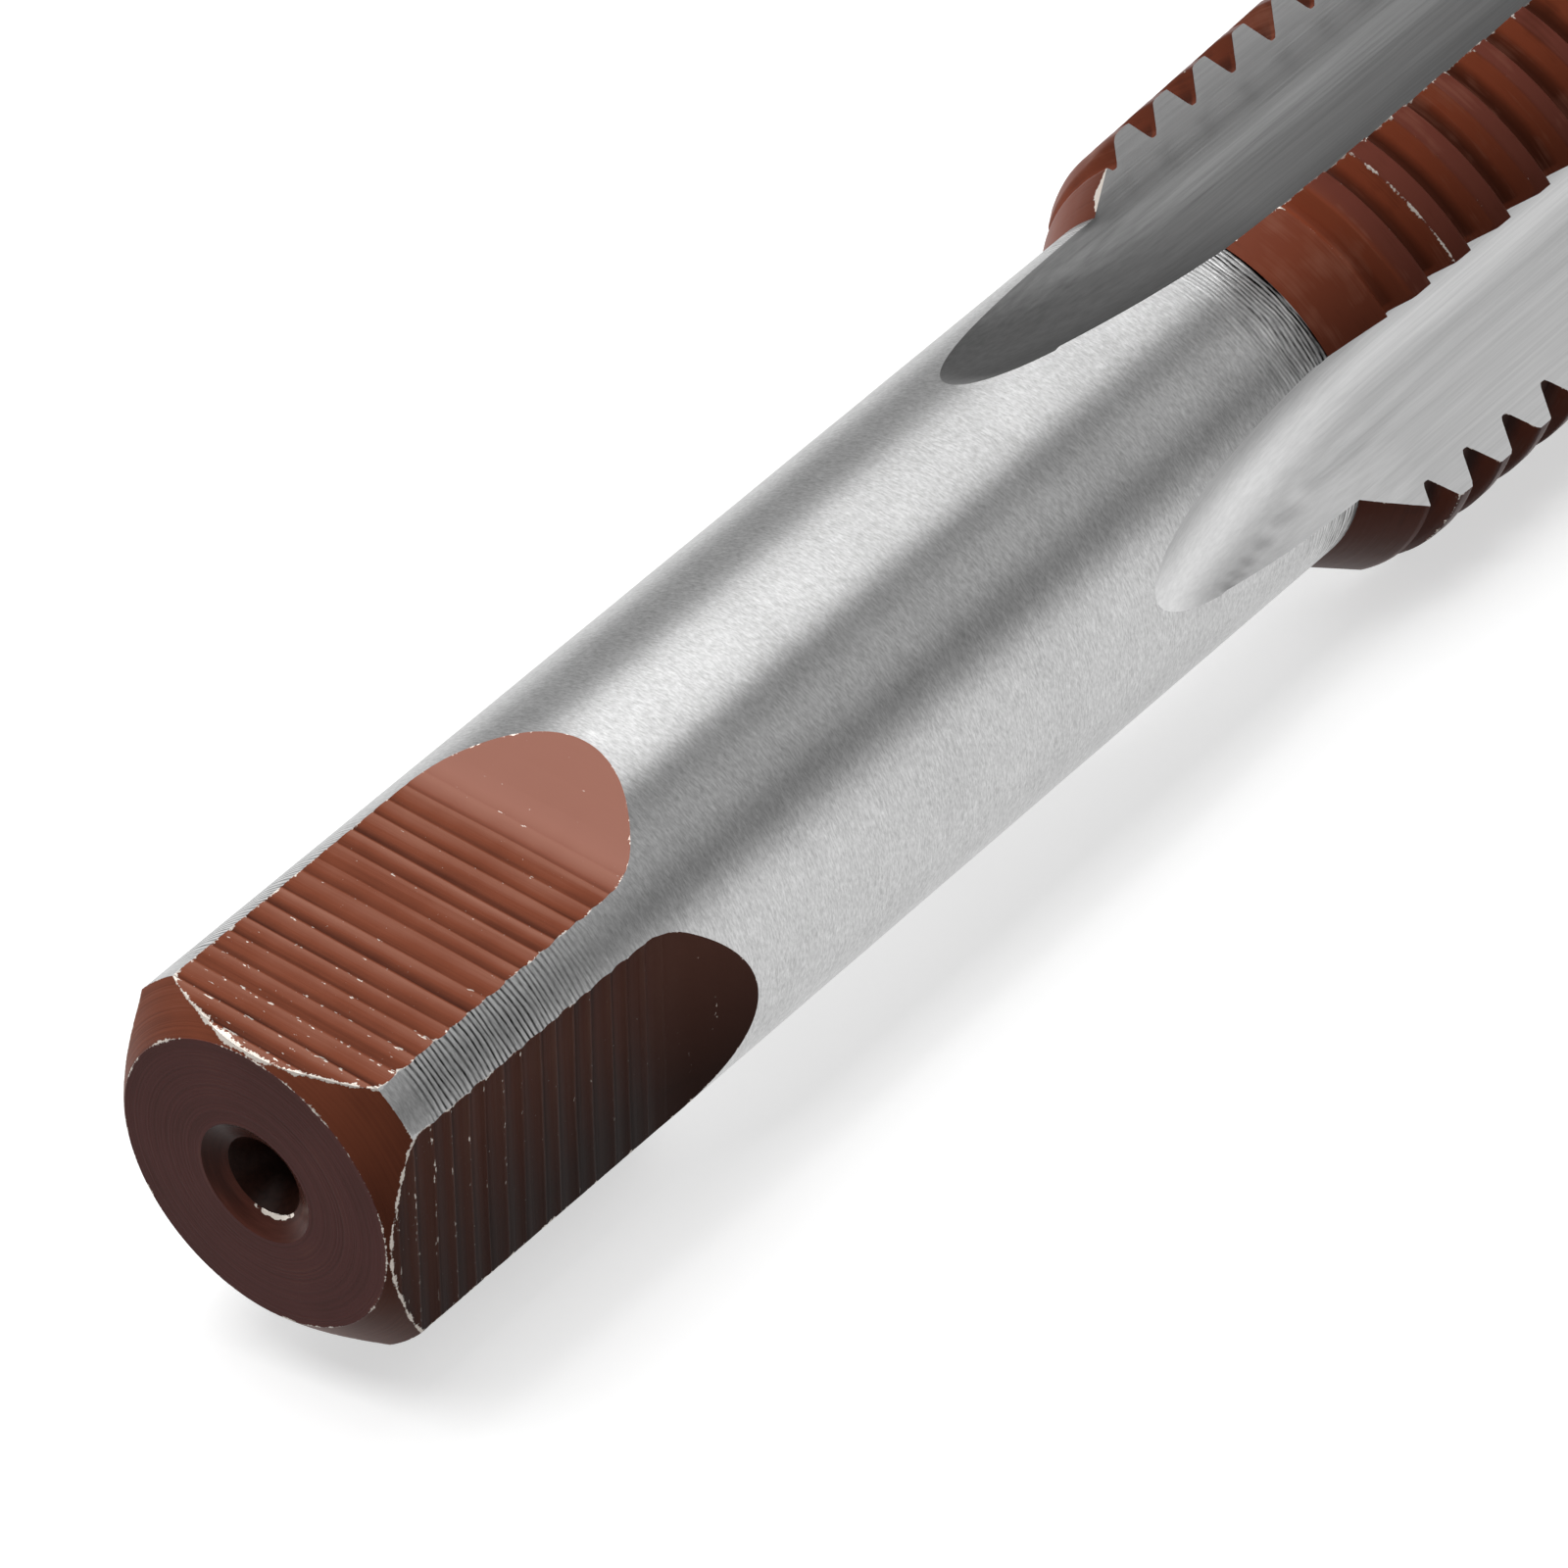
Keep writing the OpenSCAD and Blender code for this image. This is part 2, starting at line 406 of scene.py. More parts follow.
def at(x, radius, angle):
    """Points in space for places along the axis, radii and angles."""
    around = radial(angle)
    x, radius = np.broadcast_arrays(np.asarray(x, float), np.asarray(radius, float))
    return np.stack([x + 0 * around[..., 0], radius * around[..., 0], radius * around[..., 1]], -1)


def land_angles():
    """The angle of each column where the thread ends."""
    starts = [LAND_START + QUARTER * n for n in range(5)]
    angles = []
    for start in starts[:4]:
        angles += list(start + LAND_WIDTH * np.arange(LAND_COLUMNS) / LAND_COLUMNS)
        angles += list(start + LAND_WIDTH + (QUARTER - LAND_WIDTH) * np.arange(FLUTE_COLUMNS) / FLUTE_COLUMNS)
    return np.array(angles + [starts[4]])


def row_lean():
    """How far each column of a row leans along the helix. The last flute leads back to the first land."""
    lean = LAND_ANGLES * PITCH / FULL_TURN
    last_flute = COLUMNS - FLUTE_COLUMNS
    lean[last_flute:] = np.linspace(lean[last_flute], lean[0], FLUTE_COLUMNS + 1)
    return lean


LAND_ANGLES = land_angles()
ROW_LEAN = row_lean()


def circle_wear(angle):
    """The end face's rim is rubbed in places."""
    return 0.55 + 0.35 * wobble(angle, seed=3, scale=50)


def front_wear(turn, side):
    """The flats' front edges are burred and bright, and the top one is scraped as well."""
    strength = 1.05 + 0.3 * wobble(turn, seed=5 + side, scale=9) + 0.25 * ramp(turn, 5, 40)
    if side == 0:
        across = FLAT_DISTANCE * np.tan(np.radians(turn))
        scrape = np.clip(1.2 - np.abs(across - SCRAPE_MIDDLE) / SCRAPE_HALF, 0, 1)
        strength = strength + SCRAPE_WEAR * scrape * (0.75 + 0.3 * wobble(turn, seed=9, scale=7))
    return strength


def square_row(kind, value):
    """A section of the square. Before FRONT_ROWS_END the rows bend to follow the edges of the chamfer."""
    row = Row(("chamfer", "chamfer") if kind == "chamfer" else ("strip", "flat"))
    for part in parts():
        quarter, is_flat = part[:2]
        share = shares(part)
        middle = SQUARE_TURN + QUARTER * (quarter + 1)
        if is_flat:
            edge = square_edge(kind, value, quarter)
            turn = np.degrees(np.arctan((2 * share - 1) * math.tan(math.radians(edge))))
            angle = middle + turn
            front = front_edge(turn, quarter)
            strength = front_wear(turn, quarter)
        else:
            edges = [square_edge(kind, value, side) for side in (quarter - 1, quarter)]
            angle = middle - QUARTER + edges[0] + (QUARTER - edges[0] - edges[1]) * share
            front = np.full_like(angle, CHAMFER_LENGTH)
            strength = np.full_like(angle, 0.5)
        if kind == "chamfer":
            x = front * value
            radius = END_FACE_R + x * CHAMFER_RISE
            wear_and_glint = nearness((front - x) * CHAMFER_SLANT, strength)
            wear_and_glint = np.maximum(wear_and_glint, nearness(x * CHAMFER_SLANT, circle_wear(angle)))
            row.fill(part, at(x, radius, angle), wear_and_glint)
            continue
        x = front + (FRONT_ROWS_END - front) * value if kind == "front" else np.full_like(angle, value)
        wear_and_glint = nearness(x - front, strength)
        if is_flat:
            radius = flat_height(x, quarter) / np.cos(np.radians(turn))
            across = radius * np.sin(np.radians(turn))
            side_gap = abs(across[0]) - np.abs(across)
            wear_and_glint = np.maximum(wear_and_glint, nearness(side_gap, side_wear(x, quarter)))
            row.fill(part, at(x, radius, angle), wear_and_glint, ridge_height(x, quarter))
        else:
            side_gap = SHANK_R * np.radians((angle[-1] - angle[0]) * np.minimum(share, 1 - share))
            corner = 1.2 * (1 - ramp(x, CHAMFER_LENGTH, CHAMFER_LENGTH + 0.8))
            wear_and_glint = np.maximum(wear_and_glint, nearness(side_gap, side_wear(x, quarter) - 0.2 + corner))
            row.fill(part, at(x, SHANK_R, angle), wear_and_glint)
    return row


def side_wear(x, side):
    """The square's long edges are rubbed in short stretches, more so towards the drive end."""
    return 0.35 + 0.3 * wobble(x, seed=31 + side, scale=0.9) + 0.25 * (1 - ramp(x, 2, 6))


def strip_place(kind, value):
    """Where a row of the square crosses the strips."""
    if kind == "chamfer":
        return CHAMFER_LENGTH
    if kind == "front":
        return CHAMFER_LENGTH + (FRONT_ROWS_END - CHAMFER_LENGTH) * value
    return value


def square_edge(kind, value, side):
    """Angle from a flat's middle to its long edge."""
    height = float(flat_height(np.array(strip_place(kind, value)), side % 4))
    return math.degrees(math.acos(min(height / SHANK_R, 1)))


def runout_row(turn):
    """A section through the run-outs of the flats, where each flat still spans this angle either side."""
    places = np.linspace(SQUARE_LENGTH + 0.2, flat_end(), 2000)
    x = float(np.interp(SHANK_R * math.cos(math.radians(turn)), flat_height(places, 0), places))
    row = Row(("strip", "flat"))
    for part in parts():
        quarter, is_flat = part[:2]
        share = shares(part)
        middle = SQUARE_TURN + QUARTER * (quarter + 1)
        if is_flat:
            height = min(float(flat_height(np.array(x), quarter)), SHANK_R)
            half = math.degrees(math.acos(height / SHANK_R)) if turn else 0.0
            spin = np.degrees(np.arctan((2 * share - 1) * math.tan(math.radians(half))))
            radius = height / np.cos(np.radians(spin)) if turn else np.full_like(spin, SHANK_R)
            across = radius * np.sin(np.radians(spin))
            gap = (abs(across[0]) - np.abs(across)) * 0.8
            wear_and_glint = nearness(gap, 0.3 + 0.5 * wobble(spin + middle, seed=41, scale=6))
            row.fill(part, at(x, radius, middle + spin), wear_and_glint)
        else:
            angle = middle - QUARTER + turn + (QUARTER - 2 * turn) * share
            row.fill(part, at(x, SHANK_R, angle))
    return row


def shank_row(x):
    """A plain round section: the columns of the flutes lie together on a seam."""
    seam = SQUARE_TURN + QUARTER + (FLUTE_MIDDLE - SQUARE_TURN - QUARTER) * ramp(x, flat_end(), RUNOUT_TIP)
    row = Row(("strip", "flat"))
    for part in parts():
        end = seam + QUARTER * part[0]
        share = shares(part)
        angle = np.full_like(share, end) if part[1] else end - QUARTER + QUARTER * share
        row.fill(part, at(x, SHANK_R, angle))
    return row


def helix_share(x):
    """How far the rows lean with the helix: not at the shoulder's foot, and not at the tip."""
    return ramp(x, SHOULDER_START, LEAN_START) * (1 - ramp(x, LEAN_END, LENGTH))


def tooth_wear(x, angle, land):
    """Wear on the crest edges of the thread, and how high each point stands on its tooth."""
    off, number = groove_place(x, angle)
    crest = crest_radius(x, angle)
    corner = ROOT_HALF + np.maximum(crest - ROOT_R, 0.02) / FLANK_RISE
    gap = np.abs(np.abs(off) - corner)
    tooth = np.where(off > 0, number + 1, number)
    strength = LIGHT_WEAR + 0.25 * wobble(angle * 9 + x, seed=51 + land, scale=30)
    for (worn_land, worn_tooth), amount in BRIGHT_TEETH.items():
        here = (tooth == worn_tooth) & (land == worn_land) & ((off > 0) | (tooth == 0))
        rubbed = amount + 0.3 * wobble(angle, seed=61 + worn_tooth, scale=5)
        strength = np.where(here, np.maximum(strength, rubbed), strength)
    radius = land_radius(x, angle)
    height = np.clip(1 - (crest - radius) / 0.75, 0, 1)
    return nearness(gap * 1.6, strength), height


def flute_columns(rake_x, heel_x, rake, heel, quarter):
    """Where a flute's columns lie along its section: even inside the shank's radius, and a few outside it."""
    inner_rake = FLUTE.edge(rake_x, quarter, 0, inside=True)[0]
    inner_heel = FLUTE.edge(heel_x, quarter, 1, inside=True)[0]
    inside = np.linspace(inner_rake, inner_heel, FLUTE_COLUMNS + 1 - 2 * FLUTE_RIM_COLUMNS)
    outside = np.arange(FLUTE_RIM_COLUMNS) / FLUTE_RIM_COLUMNS
    return np.concatenate([rake + (inner_rake - rake) * outside, inside,
                           (heel + (inner_heel - heel) * outside)[::-1]])


def fluted_row(x):
    """A section through the flutes. In the thread the row leans along the helix of each land."""
    in_thread = x > SHOULDER_START
    row = Row(("land" if in_thread else "strip", "flute"))
    places = np.minimum(x + ROW_LEAN * helix_share(x), LENGTH)
    flute_ends = [[FLUTE.edge(places[part[2 + heel]], part[0], heel) for heel in (0, 1)]
                  for part in parts() if part[1]]
    for part in parts():
        quarter, is_flute, first, last = part
        share = shares(part)
        here = places[first:last + 1]
        if is_flute:
            rake, heel = flute_ends[quarter]
            along = flute_columns(places[first], places[last], rake[0], heel[0], quarter)
            out, aside = FLUTE.section(here, along)
            angle = FLUTE_MIDDLE + QUARTER * quarter + np.degrees(np.arctan2(aside, out))
            row.fill(part, at(here, np.hypot(out, aside), angle))
            continue
        start = flute_ends[quarter - 1][1][1] - (0 if quarter else FULL_TURN)
        end = flute_ends[quarter][0][1]
        angle = start + (end - start) * share
        if in_thread:
            radius = land_radius(here, angle)
            wear_and_glint, height = tooth_wear(here, angle, quarter)
            heel_gap = SHANK_R * np.radians(angle - start)
            heel_wear = 0.5 + 0.4 * wobble(here, seed=71 + quarter, scale=0.5)
            wear_and_glint = np.maximum(wear_and_glint, nearness(heel_gap, heel_wear))
            # The first land's cutting edge at the shoulder: a worn burr with a painted glint.
            if quarter == 0:
                nick_glint = NICK_GLINT_WEAR * (1 - np.abs(here - NICK_GLINT_MIDDLE) / NICK_GLINT_HALF)
                wear_and_glint = np.maximum(wear_and_glint, nearness(SHANK_R * np.radians(end - angle), nick_glint))
        else:
            radius, wear_and_glint, height = np.full_like(angle, SHANK_R), -1.0, 1.0
        row.fill(part, at(here, radius, angle), wear_and_glint, height)
    return row


def ring_row(x, radius, angles, zone):
    """A circle, for the end faces and the centre holes."""
    row = Row((zone, zone))
    row.points[:] = at(x, radius, angles)
    return row


def thread_places():
    """Where the rows of the thread lie: close together in the grooves' bottoms and at the crest edges."""
    places = list(np.linspace(SHOULDER_START, FIRST_THREAD_ROW, 5)[1:])
    centre = HELIX_ZERO
    while centre < LENGTH + PITCH / 2:
        crest = float(bar_radius(np.array(min(centre + 0.9, LENGTH))))
        corner = ROOT_HALF + max(crest - ROOT_R, 0.06) / FLANK_RISE
        seen = centre < FINE_ROWS_END
        half = [0, 0.1, 0.2] + list(np.linspace(0.2, corner - 0.035, 5 if seen else 3)[1:-1])
        half += [corner - 0.035, corner - 0.01, corner + 0.015, corner + 0.05][::1 if seen else 2]
        half += list(np.linspace(corner + 0.05, 1, 4 if seen else 3)[1:])
        half = sorted(v for v in half if v >= 0)
        both = [-v for v in half[1:-1]] + half
        places += [centre + v for v in both if FIRST_THREAD_ROW + 0.02 < centre + v < LENGTH - 0.02]
        centre += PITCH
    return sorted(places) + [LENGTH]


def hole_profile():
    """The centre hole from its bottom out: depth, radius and the zone of the surface that ends there."""
    return [
        (PILOT_TIP, 0.0, "pilot_tip"),
        (PILOT_DEPTH, PILOT_R, "pilot_tip"),
        (SEAT_DEPTH, PILOT_R, "pilot"),
        ((SEAT_DEPTH + COUNTERSINK_DEPTH) / 2, (PILOT_R + SEAT_R) / 2, "seat"),
        (COUNTERSINK_DEPTH + 0.12, SEAT_R - 0.07, "seat"),
        (COUNTERSINK_DEPTH, SEAT_R, "seat"),
        (COUNTERSINK_DEPTH - 0.04, SEAT_R + 0.07, "countersink"),
        (COUNTERSINK_DEPTH / 2, (SEAT_R + COUNTERSINK_R) / 2, "countersink"),
        (0.0, COUNTERSINK_R, "countersink"),
    ]


def drive_end_rows():
    rim = square_row("chamfer", 0.0)
    angles = np.degrees(np.unwrap(np.arctan2(rim.points[:, 2], rim.points[:, 1])))
    rows = [ring_row(depth, radius, angles, zone) for depth, radius, zone in hole_profile()]
    for row in rows:
        # Painted glint: a bright arc on the lower rim of the seat, carried with the wear.
        if abs(row.points[0, 0] - COUNTERSINK_DEPTH) < 0.05:
            off = np.mod(angles - HOLE_PAINTED_GLINT + FULL_TURN / 2, FULL_TURN) - FULL_TURN / 2
            ragged = 0.15 * wobble(angles, seed=81, scale=20)
            row.wear_and_glint[:] = HOLE_PAINTED_GLINT_LEVEL - (off / HOLE_PAINTED_GLINT_HALF) ** 2 + ragged
    reach = END_FACE_R - np.array([0.03, 0.08, 0.16, 0.28])
    for radius in sorted([*np.linspace(COUNTERSINK_R, reach[-1], 7)[1:-1], *reach]):
        row = ring_row(0.0, radius, angles, "end_face")
        row.wear_and_glint[:] = nearness(END_FACE_R - radius, circle_wear(angles))
        rows.append(row)
    rim.zones = ("end_face", "end_face")
    return rows + [rim]


def square_rows():
    chamfer = (0.04, 0.1, 0.2, 0.35, 0.5, 0.65, 0.8, 0.9, 0.96, 1.0)
    front = (0.05, 0.12, 0.2, 0.3, 0.42, 0.55, 0.7, 0.85, 1.0)
    places = np.arange(FRONT_ROWS_END + SQUARE_ROW_STEP, SQUARE_LENGTH - 0.05, SQUARE_ROW_STEP)
    turn_up = (0, 0.12, 0.3)
    rows = [square_row("chamfer", share) for share in chamfer]
    rows += [square_row("front", share) for share in front]
    rows += [square_row("square", x) for x in places]
    rows += [square_row("square", SQUARE_LENGTH + over) for over in turn_up]
    last = square_edge("square", SQUARE_LENGTH + turn_up[-1], 0)
    rows += [runout_row(turn) for turn in np.linspace(last, 0, 22)[1:]]
    return rows


def shank_rows():
    rows = [shank_row(x) for x in np.linspace(flat_end(), RUNOUT_TIP, 30)[1:]]
    opening = np.linspace(0, 1, 46)[1:] ** 1.6
    rows += [fluted_row(RUNOUT_TIP + (SHOULDER_START - RUNOUT_TIP) * share) for share in opening]
    return rows


def tip_rows(last):
    """The tip's face and its centre hole, behind the last section of the thread."""
    rim = at(LENGTH, COUNTERSINK_R, LAND_ANGLES)
    rows = []
    for share in np.linspace(0, 1, 7)[1:-1]:
        row = Row(("tip_face", "tip_face"))
        row.points = last.points + (rim - last.points) * share
        rows.append(row)
    zone = "tip_face"
    for depth, radius, next_zone in hole_profile()[::-1]:
        rows.append(ring_row(LENGTH - depth, radius, LAND_ANGLES, zone))
        zone = next_zone
    return rows


def number_points(rows):
    """One number for each place in space: columns that have come together share a vertex."""
    vertices, found = [], {}
    numbers = np.zeros((len(rows), COLUMNS + 1), int)
    for i, row in enumerate(rows):
        for j in range(COLUMNS):
            key = tuple(np.round(row.points[j] / 1e-5).astype(np.int64))
            if key not in found:
                found[key] = len(vertices)
                vertices.append((i, j))
            numbers[i, j] = found[key]
        numbers[i, COLUMNS] = numbers[i, 0]
    return numbers, vertices


ZONE_MATERIALS = {
    "strip": 0, "flute": 1, "flat": 2, "land": 3, "end_face": 4, "chamfer": 4, "countersink": 5, "seat": 6,
    "pilot": 6, "pilot_tip": 6, "tip_face": 4}


def build_mesh(rows):
    numbers, vertices = number_points(rows)
    faces, zones = [], []
    for i in range(len(rows) - 1):
        for j in range(COLUMNS):
            block = 0 if (j % QUARTER_COLUMNS) < LAND_COLUMNS else 1
            kept, seen = [], set()
            for spot in ((i, j), (i, j + 1), (i + 1, j + 1), (i + 1, j)):
                if numbers[spot] not in seen:
                    seen.add(numbers[spot])
                    kept.append(spot)
            if len(kept) > 2:
                faces.append([int(numbers[spot]) for spot in kept])
                zones.append(rows[i + 1].zones[block])
    mesh = bpy.data.meshes.new("tap_body")
    place = np.array([rows[i].points[j] for i, j in vertices]) * MM
    place += [LOW.x, 0, AXIS_HEIGHT * MM]
    mesh.from_pydata(place.tolist(), [], faces)
    mesh.update()
    for name in ("wear_and_glint", "ridge"):
        values = np.array([getattr(rows[i], name)[j] for i, j in vertices], np.float32)
        mesh.attributes.new(name, "FLOAT", "POINT").data.foreach_set("value", values)
    mesh.polygons.foreach_set("material_index", [ZONE_MATERIALS[zone] for zone in zones])
    mesh.polygons.foreach_set("use_smooth", [True] * len(faces))
    names = sorted(set(zones))
    mark_sharp(mesh, np.array([names.index(zone) for zone in zones]))
    return mesh


def mark_sharp(mesh, zone_ids):
    """An edge between two zones is a real edge of the tap."""
    edges = np.zeros(len(mesh.loops), np.int32)
    mesh.loops.foreach_get("edge_index", edges)
    sizes = np.zeros(len(mesh.polygons), np.int32)
    mesh.polygons.foreach_get("loop_total", sizes)
    owner = np.repeat(zone_ids, sizes)
    least = np.full(len(mesh.edges), len(zone_ids))
    most = np.full(len(mesh.edges), -1)
    np.minimum.at(least, edges, owner)
    np.maximum.at(most, edges, owner)
    sharp = mesh.attributes.get("sharp_edge") or mesh.attributes.new("sharp_edge", "BOOLEAN", "EDGE")
    sharp.data.foreach_set("value", least != most)


class Nodes:
    """A short way to write the nodes of a material or the world."""

    def __init__(self, name, owner=None):
        self.owner = owner or bpy.data.materials.new(name)
        self.owner.use_nodes = True
        self.tree = self.owner.node_tree
        self.tree.nodes.clear()

    def add(self, kind, inputs=(), **settings):
        node = self.tree.nodes.new(kind)
        for key, value in settings.items():
            setattr(node, key, value)
        for key, value in dict(inputs).items():
            self.put(node.inputs[key], value)
        return node

    def put(self, socket, value):
        if isinstance(value, bpy.types.NodeSocket):
            self.tree.links.new(value, socket)
        else:
            socket.default_value = value

    def math(self, operation, a, b=0.0):
        return self.add("ShaderNodeMath", {0: a, 1: b}, operation=operation).outputs[0]

    def plus(self, *values):
        total = values[0]
        for value in values[1:]:
            total = self.math("ADD", total, value)
        return total

    def times(self, *values):
        total = values[0]
        for value in values[1:]:
            total = self.math("MULTIPLY", total, value)
        return total

    def swing(self, noise, amount):
        """A noise as a change to either side of nothing."""
        return self.times(self.plus(noise, -0.5), amount)

    def blend(self, share, a, b):
        """From a to b, for plain numbers."""
        return self.plus(a, self.times(share, self.math("SUBTRACT", b, a)))

    def mix(self, share, a, b):
        """From a to b, for colours."""
        node = self.add("ShaderNodeMix", data_type="RGBA")
        for number, value in ((0, share), (6, a), (7, b)):
            self.put(node.inputs[number], value)
        return node.outputs[2]

    def spread(self, value, low, high, to_low=0.0, to_high=1.0):
        return self.add("ShaderNodeMapRange", {0: value, 1: low, 2: high, 3: to_low, 4: to_high}).outputs[0]

    def attribute(self, name):
        return self.add("ShaderNodeAttribute", attribute_name=name).outputs["Fac"]

    def place(self):
        """Place on the tap in millimetres: along the axis from the drive end, and from the axis."""
        node = self.add("ShaderNodeMapping", {
            "Vector": self.add("ShaderNodeTexCoord").outputs["Object"],
            "Location": (-LOW.x / MM, 0, -AXIS_HEIGHT), "Scale": (1 / MM, 1 / MM, 1 / MM)})
        parts_of = self.add("ShaderNodeSeparateXYZ", {0: node.outputs[0]})
        return parts_of.outputs[0], parts_of.outputs[1], parts_of.outputs[2]

    def turned(self, place):
        """Distance from the axis and along it, added: a lathe's lines follow it on a face and on a cone."""
        y, z = place[1], place[2]
        return self.plus(self.math("SQRT", self.plus(self.times(y, y), self.times(z, z))), place[0])

    def noise(self, first, place, fine, coarse, detail=2.0, rough=0.5, shift=0.0):
        """Noise in lines: fine waves a millimetre along the first value, coarse ones across the tap."""
        vector = self.add("ShaderNodeCombineXYZ", {
            0: self.plus(self.times(first, fine), shift), 1: self.times(place[1], coarse),
            2: self.times(place[2], coarse)})
        return self.add("ShaderNodeTexNoise", {
            "Vector": vector.outputs[0], "Scale": 1.0, "Detail": detail, "Roughness": rough}).outputs[0]

    def grains(self, place, size, shift=0.0):
        """Noise in round spots of about this size."""
        vector = self.add("ShaderNodeCombineXYZ", {
            0: self.plus(place[0], shift), 1: place[1], 2: place[2]})
        return self.add("ShaderNodeTexNoise", {
            "Vector": vector.outputs[0], "Scale": 1 / size, "Detail": 2.0}).outputs[0]

    def bump(self, height):
        """A normal bent by a height in millimetres."""
        return self.add("ShaderNodeBump", {"Height": height, "Strength": 1.0, "Distance": MM}).outputs[0]

    def worn(self, place, amount=1.0):
        """Where an edge is rubbed down to bright metal, and where a glint is painted: a ragged line."""
        ragged = self.plus(self.times(self.grains(place, 0.09), 0.6),
                           self.times(self.grains(place, 0.5, shift=5.0), 0.5))
        level = self.plus(self.attribute("wear_and_glint"), self.times(self.plus(ragged, -0.55), amount))
        return self.spread(level, 0.84, 0.94)

    def finish(self, shader):
        self.tree.links.new(shader, self.add("ShaderNodeOutputMaterial").inputs[0])
        return self.owner


def grey(value):
    return (value, value, value, 1)


def steel_colour(nodes, tone):
    """Grey of a brightness. Steel mirrored in steel is darker, as some light is lost."""
    again = nodes.add("ShaderNodeLightPath").outputs["Is Glossy Ray"]
    tone = nodes.times(tone, nodes.blend(again, 1.0, STEEL_IN_STEEL))
    return nodes.add("ShaderNodeCombineColor", {0: tone, 1: tone, 2: tone}).outputs[0]


def steel(nodes, colour, height, roughness, drawn_out, tangent):
    """Bright metal whose gloss is drawn out across its ground lines."""
    shader = nodes.add("ShaderNodeBsdfPrincipled", {
        "Base Color": colour, "Metallic": 1.0, "Roughness": roughness, "Anisotropic": drawn_out,
        "Anisotropic Rotation": 0.25, "Normal": nodes.bump(height), "Tangent": tangent.outputs[0]})
    return nodes.finish(shader.outputs[0])


def strip_comb(nodes, x, clouds, streaks, drift):
    """Clear ground lines along the square's strips: their height, and how far they are there at all."""
    there = nodes.times(nodes.spread(nodes.plus(x, nodes.times(clouds, 2)), *COMB_START),
                        nodes.spread(x, *COMB_END, 1.0, 0.0), nodes.spread(streaks, 0.3, 0.6, 0.45, 1.0))
    phase = nodes.plus(nodes.times(x, math.tau / COMB_SPACING), nodes.times(drift, 9.0))
    return nodes.times(nodes.spread(nodes.math("SINE", phase), -1, 0.3, -1.0, 0.35), there), there


def shoulder_rings(nodes, x, place, drift):
    """Broken rings at the shoulder's foot."""
    broken = nodes.noise(x, place, 8, 0.8, 2.0, 0.6, shift=55)
    phase = nodes.plus(nodes.times(x, math.tau / RING_SPACING), nodes.times(drift, 14.0))
    rings = nodes.plus(nodes.times(nodes.math("SINE", phase), 0.7), nodes.spread(broken, 0.3, 0.7, -0.9, 0.6))
    return nodes.times(rings, nodes.spread(x, SHOULDER_START - 3.0, SHOULDER_START - 0.4))


def ground_steel():
    """Cylindrically ground: fine rings round the tap, combed on the corner strips and below the shoulder."""
    nodes = Nodes("ground_steel")
    place = nodes.place()
    x = place[0]
    fine = nodes.noise(x, place, 16, 4.5, 3.0, 0.65)
    streaks = nodes.noise(x, place, 6, 1.0, shift=40)
    clouds = nodes.noise(x, place, 0.35, 0.35, 3.0, 0.6, shift=90)
    drift = nodes.noise(x, place, 1.2, 0.5, 1.0, shift=20)
    comb, combed = strip_comb(nodes, x, clouds, streaks, drift)
    rings = shoulder_rings(nodes, x, place, drift)
    # Painted shade: darker towards the shoulder's foot, and darkest in its corner.
    foot = nodes.plus(nodes.spread(x, SHOULDER_START - 1.6, SHOULDER_START, 0.0, -0.2),
                      nodes.spread(x, SHOULDER_START - 0.3, SHOULDER_START - 0.05, 0.0, -0.25))
    tone = nodes.plus(
        0.585, nodes.swing(fine, 0.65), nodes.swing(streaks, 0.14), nodes.swing(clouds, 0.14),
        nodes.times(comb, 0.52), nodes.times(rings, 0.34), foot, nodes.times(combed, -0.04))
    height = nodes.plus(nodes.times(fine, 0.003), nodes.times(comb, 0.006), nodes.times(rings, 0.004))
    colour = nodes.mix(nodes.worn(place), steel_colour(nodes, tone), grey(0.85))
    around = nodes.add("ShaderNodeTangent", direction_type="RADIAL", axis="X")
    return steel(nodes, colour, height, 0.37, 0.75, around)


def fluted_steel():
    """Ground lengthwise: streaks, with painted shade along the upper flute, and the lower flutes and run-outs
    lighter as a painted reflection of the floor.
    """
    nodes = Nodes("fluted_steel")
    place = nodes.place()
    length = nodes.times(place[0], 0.16)
    fine = nodes.noise(length, place, 1.0, 9.0, 3.0, 0.6)
    broad = nodes.noise(length, place, 0.6, 1.6, shift=30)
    # Painted shade: a darker streak along the upper flute.
    painted_shade_streak = nodes.times(nodes.spread(place[1], 0.9, 1.9), nodes.spread(place[1], 3.1, 2.6),
                              nodes.spread(place[2], 3.0, 3.6))
    # Painted reflection of the floor: lighter lower down, at the run-outs and towards the drive end.
    painted_floor_reflection = nodes.times(nodes.spread(place[0], SHOULDER_START + 2.7, SHOULDER_START - 2.3),
                            nodes.spread(place[2], 1.5, -1.5))
    # The tone's lift below the upper flute is painted reflection of the floor as well.
    tone = nodes.plus(
        0.61, nodes.swing(fine, 0.3), nodes.swing(broad, 0.08), nodes.times(painted_floor_reflection, 0.24),
        nodes.spread(place[2], 3.2, 2.0, 0.0, 0.09), nodes.times(painted_shade_streak, -0.22))
    lengthwise = nodes.add("ShaderNodeVectorTransform", {0: (1, 0, 0)}, vector_type="VECTOR",
                           convert_from="OBJECT", convert_to="WORLD")
    return steel(nodes, steel_colour(nodes, tone), nodes.times(fine, 0.006), 0.36, 0.8, lengthwise)


